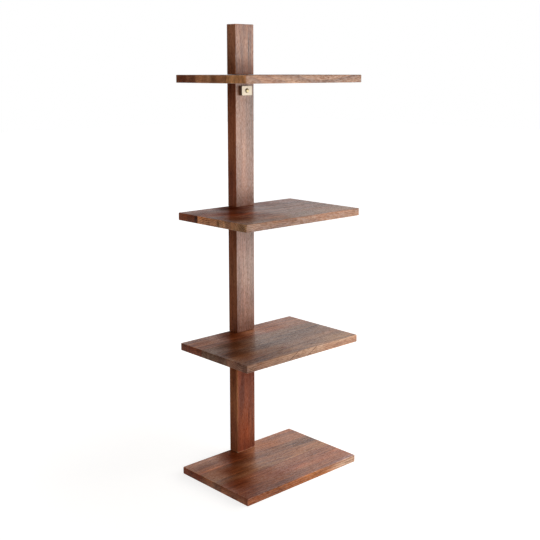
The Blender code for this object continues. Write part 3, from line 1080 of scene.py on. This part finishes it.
# %% [markdown]
# ## The fittings behind
#
# Fourteen cams show on the back of the post. Each is a zinc casting, a little below the wood's
# face, with a rounded rim, a cross recess for a screwdriver and a small arrow that points at its
# joint. One is modelled and copied to the other pockets, with half a turn where its joint is below
# it. Inside, a slot and a chamber let in the bolt's neck and head. The bolts, turned from wire and
# zinc plated, and the beech dowels are all inside the wood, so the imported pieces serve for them.

# %% Finish the fittings
ZINC_DARK = (0.44, 0.45, 0.47)
ZINC_LIGHT = (0.60, 0.61, 0.63)
MOTTLE = ((420, 420, 420), 3.0, 0.6)
MOTTLE_RISE = (0.35, 0.65)
MOTTLE_RELIEF = 0.2
ZINC_ROUGHNESS = (0.30, 0.25)
BEECH_DARK = (0.48, 0.31, 0.18)
BEECH_LIGHT = (0.66, 0.46, 0.29)
BEECH_GRAIN = ((420, 420, 30), 2.0)
BEECH_FLECKS = ((1400, 1400, 160), 1.0)
BEECH_FLECK_RISE = (0.58, 0.68)
BEECH_FLECK = (0.30, 0.17, 0.09)
BEECH_FLECK_STAIN = 0.6
BEECH_ROUGHNESS = (0.55, 0.15)


def zinc(name):
    """Cast and plated zinc: a cool grey metal, with a fine mottle from the mould."""
    material, start, shader = new_finish(name)
    place = start.node("ShaderNodeTexCoord", output="Object")
    mottle = noise(place, *MOTTLE)
    tone = mix(rise(mottle, *MOTTLE_RISE), ZINC_DARK, ZINC_LIGHT)
    gloss = ZINC_ROUGHNESS[0] + ZINC_ROUGHNESS[1] * mottle
    bump = {"Strength": MOTTLE_RELIEF, "Distance": METAL_RELIEF_DEPTH, "Height": mottle}
    normal = mottle.node("ShaderNodeBump", inputs=bump)
    shader.inputs["Metallic"].default_value = 1.0
    feed(shader, Base_Color=tone, Roughness=gloss, Normal=normal)
    return material


def beech(name):
    """Bare beech, pale, with short dark flecks along the dowel."""
    material, start, shader = new_finish(name)
    place = start.node("ShaderNodeTexCoord", output="Object")
    fleck = rise(noise(place, *BEECH_FLECKS), *BEECH_FLECK_RISE)
    tone = mix(noise(place, *BEECH_GRAIN), BEECH_DARK, BEECH_LIGHT)
    tone = mix(fleck * BEECH_FLECK_STAIN, tone, BEECH_FLECK)
    feed(shader, Base_Color=tone, Roughness=BEECH_ROUGHNESS[0] + BEECH_ROUGHNESS[1] * fleck)
    return material


zinc_plate = zinc("zinc_fitting")
inner_finishes = {"_cam_bolt": zinc_plate, "_dowel": beech("beech_dowel")}
inner_pieces = [
    (node, finish)
    for name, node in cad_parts.items()
    for part, finish in inner_finishes.items()
    if part in name
]
for node, finish in inner_pieces:
    node.data.materials.clear()
    node.data.materials.append(finish)
print("Packed pieces that keep their shape:", len(inner_pieces))

# %% Shape one cam
FIRST_CAM = "block_1_cam_high_left"
CAM_FACETS = 64
CAM_RIM_RADIUS = 0.0007
CAM_RIM_STEPS = 3
CROSS_LENGTH = 0.0076
CROSS_WIDTH = 0.0018
CROSS_DEPTH = 0.0024
ARROW_CORNERS = 3
ARROW_RADIUS = 0.0011
ARROW_DEPTH = 0.0004
ARROW_OFFSET = 0.0053
NECK_ROOM = 0.0025
HEAD_ROOM = 0.0038
HEAD_SPAN = (-0.0023, 0.0018)
TO_WALL = 1


def cut_box(piece, middle, x, y, z):
    """Cuts a box out of the piece, given by its spans from a middle point."""
    low, high = (middle + Vector(corner) for corner in zip(x, y, z))
    cut_away(piece, add_block("cutter", low, high))


low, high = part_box(FIRST_CAM)
cam_middle = (low + high) / 2
cam_half = (high - low) / 2
bolt_y = sum(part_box("shelf_1_cam_bolt_left"), Vector()).y / 2 - cam_middle.y
reach = Vector((0, cam_half.y, 0))
cam = add_rod(cam_half.x, cam_middle - reach, cam_middle + reach, CAM_FACETS)
bevel_where(cam, lies_in_end(TO_WALL, low, high), CAM_RIM_RADIUS, CAM_RIM_STEPS)
print("The cam's blank is", round(2000 * cam_half.x, 1), "mm across")

# %% Cut the cam's slot, chamber, cross and arrow
inner = -cam_half.y - OVERRUN
neck_rise = (0, cam_half.z + OVERRUN)
cut_box(cam, cam_middle, (-NECK_ROOM, NECK_ROOM), (inner, bolt_y + NECK_ROOM), neck_rise)
cut_box(cam, cam_middle, (-HEAD_ROOM, HEAD_ROOM), (inner, bolt_y + HEAD_ROOM), HEAD_SPAN)
recess = (cam_half.y - CROSS_DEPTH, cam_half.y + OVERRUN)
long_span = (-CROSS_LENGTH / 2, CROSS_LENGTH / 2)
short_span = (-CROSS_WIDTH / 2, CROSS_WIDTH / 2)
cut_box(cam, cam_middle, long_span, recess, short_span)
cut_box(cam, cam_middle, short_span, recess, long_span)
arrow = cam_middle + Vector((0, cam_half.y, ARROW_OFFSET))
arrow_floor = arrow - Vector((0, ARROW_DEPTH, 0))
arrow_mouth = arrow + Vector((0, OVERRUN, 0))
cut_away(cam, add_rod(ARROW_RADIUS, arrow_floor, arrow_mouth, ARROW_CORNERS, up="Y"))
smooth(cam)
print("A cam has", len(cam.data.polygons), "faces")


# %% Copy the cam to every pocket
def copy_cam(node):
    """A copy of the cam in another pocket, with half a turn where its joint is below it."""
    select_only(cam)
    bpy.ops.object.duplicate()
    here = sum(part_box(node), Vector()) / 2
    bpy.ops.transform.translate(value=here - cam_middle)
    if "_low_" in node:
        bpy.ops.transform.rotate(value=math.pi, orient_axis="Y", center_override=here)
    bpy.ops.object.transform_apply(location=True, rotation=True, scale=True)
    return bpy.context.object


cams = {FIRST_CAM: cam}
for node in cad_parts:
    if node.startswith("block_") and node != FIRST_CAM:
        cams[node] = copy_cam(node)
for node, piece in cams.items():
    piece.name = f"{node}_zinc"
    dress(piece, zinc_plate, "zinc_alloy", node)
print("Cams in place:", len(cams))

# %% [markdown]
# ## The studio
#
# The shelf stands on a pale floor in front of a white sweep. A large softbox to the right of the
# camera lights the fronts and the right ends, and leaves the left sides deep. A small one, low at
# the right, lifts the bottom panel. Some light also comes off the sweep at the right, and less
# from the room at the left. The camera and all that mirrors the scene see the floor and the sweep
# behind the shelf as white at a strength of 1, which doesn't light the shelf otherwise. So the
# tops carry a pale sheen, with the post's mirror image as a dark band in it, which painted shade
# on the tops makes deeper.

# %% Lay the floor
FLOOR_SIZE = 30
FLOOR_DROP = 0.0004
FLOOR_COLOUR = (0.45, 0.45, 0.45, 1)
FLOOR_ROUGHNESS = 0.8
FLOOR_SHEEN = 0.2
NEAR_WHITE = 0.80
WHITE_RISE = (0.3, 1.4)

bpy.ops.mesh.primitive_plane_add(size=FLOOR_SIZE, location=(0, 0, -FLOOR_DROP))
floor = bpy.context.object
floor.name = "studio_floor"
floor_finish, start, shader = new_finish("pale_floor")
shader.inputs["Base Color"].default_value = FLOOR_COLOUR
shader.inputs["Roughness"].default_value = FLOOR_ROUGHNESS
shader.inputs["Specular IOR Level"].default_value = FLOOR_SHEEN
shader.inputs["Emission Strength"].default_value = 1.0


def ray_masks(start):
    """Whether a ray comes straight from the camera, and whether it was mirrored or let through."""
    seen = start.node("ShaderNodeLightPath", output="Is Camera Ray")
    mirrored = seen.math("MAXIMUM", seen.twin("Is Glossy Ray"), seen.twin("Is Transmission Ray"))
    return seen, mirrored


seen, mirrored = ray_masks(start)
place = start.node("ShaderNodeTexCoord", output="Object")
distance = vectors("LENGTH", place, output="Value")
shown = seen.math("MAXIMUM", seen, mirrored)
white = NEAR_WHITE + (1 - NEAR_WHITE) * rise(distance, *WHITE_RISE)
feed(shader, Emission_Color=shown * white)
floor.data.materials.append(floor_finish)
print("The floor is", FLOOR_SIZE, "m wide")

# %% Hang the lights
LAMP_COLOUR = (1.0, 0.965, 0.92)


def softbox(name, place, aim, width, height, watts):
    """A rectangular area lamp that looks at its aim."""
    lamp = bpy.data.lights.new(name, "AREA")
    lamp.shape = "RECTANGLE"
    lamp.size = width
    lamp.size_y = height
    lamp.energy = watts
    lamp.color = LAMP_COLOUR
    box = bpy.data.objects.new(name, lamp)
    box.location = place
    box.rotation_euler = (Vector(aim) - Vector(place)).to_track_quat("-Z", "Y").to_euler()
    box.visible_camera = False
    bpy.context.scene.collection.objects.link(box)
    print(name, "gives", watts, "W")


softbox(
    "key_softbox", place=(0.87, -0.87, 0.88), aim=(0, 0, 0.88),
    width=1.50, height=1.30, watts=19.5,
)
softbox(
    "low_softbox", place=(0.75, -0.10, 0.38), aim=(0.10, -0.04, 0.02),
    width=0.60, height=0.30, watts=1.6,
)

# %% Light the white sweep
SWEEP = 2.80
SWEEP_COLOUR = (1.0, 0.94, 0.86)
SWEEP_WAY = (0.951, 0.309, 0.0)
SWEEP_RISE = (0.76, 0.92)
BOUNCE = 1.85
BOUNCE_WAY = (-0.72, -0.69, 0.0)
BOUNCE_RISE = (0.45, 0.95)
HAZE_SHADE = 0.35
HAZE_RISE = (0.15, 0.42)
CEILING_SHADE = 0.90
CEILING_RISE = (0.40, 0.80)
BACKDROP_WAY = (0.68, 0.73, 0.0)
BACKDROP_RISE = (0.30, 0.70)


def toward(way, aim, spread):
    """1 where a ray goes the way of the aim, and 0 outside its spread."""
    return rise(vectors("DOT_PRODUCT", way, aim, output="Value"), *spread)


world = bpy.data.worlds.new("white_studio")
bpy.context.scene.world = world
world.use_nodes = True
sky = Wire(world.node_tree)
seen, mirrored = ray_masks(sky)
way = sky.node("ShaderNodeTexCoord", output="Generated")
height = sky.node("ShaderNodeSeparateXYZ", inputs={0: way}, output="Z")
haze = 1 - HAZE_SHADE * (1 - rise(height, *HAZE_RISE))
ceiling = 1 - CEILING_SHADE * rise(height, *CEILING_RISE)
sweep = SWEEP * toward(way, SWEEP_WAY, SWEEP_RISE) * haze
glow = (sweep + BOUNCE * toward(way, BOUNCE_WAY, BOUNCE_RISE)) * ceiling
shown = seen.math("MAXIMUM", seen, mirrored * toward(way, BACKDROP_WAY, BACKDROP_RISE))
light = mix(glow * (1 - mirrored), (0, 0, 0), SWEEP_COLOUR)
paper = mix(shown, light, (1, 1, 1))
background = world.node_tree.nodes["Background"]
world.node_tree.links.new(paper.socket, background.inputs["Color"])
print("The sweep glows at", SWEEP, "and the bounce at", BOUNCE)
